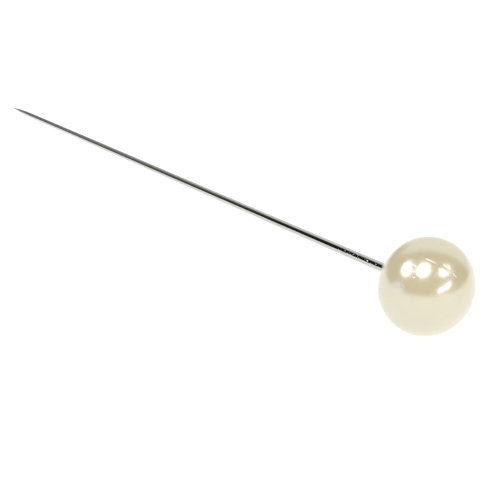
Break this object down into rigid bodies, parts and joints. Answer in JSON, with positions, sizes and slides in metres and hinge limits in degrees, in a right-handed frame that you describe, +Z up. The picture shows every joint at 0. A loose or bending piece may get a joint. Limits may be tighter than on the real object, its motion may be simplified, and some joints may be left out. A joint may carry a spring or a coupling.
{
  "type": "hat pin",
  "caption": "Long straight steel pin with a ground point and a round pearl-coated head glued onto its other end.",
  "frame": {"origin": "on the surface that the pin lies on, under the middle of its length", "axes": "+Z up; +X along the pin from its point towards its pearl head, as seen from above"},
  "size_m": [0.1518, 0.012, 0.012],
  "materials": {
    "plated_steel": "polished",
    "head_plastic": "satin",
    "pearl_lacquer": "gloss",
    "cured_glue": "gloss"
  },
  "bodies": {
    "root": {"pin_shaft": "plated_steel", "head_core": "head_plastic", "pearl_coat": "pearl_lacquer", "glue_sleeve": "cured_glue"}
  },
  "joints": []
}
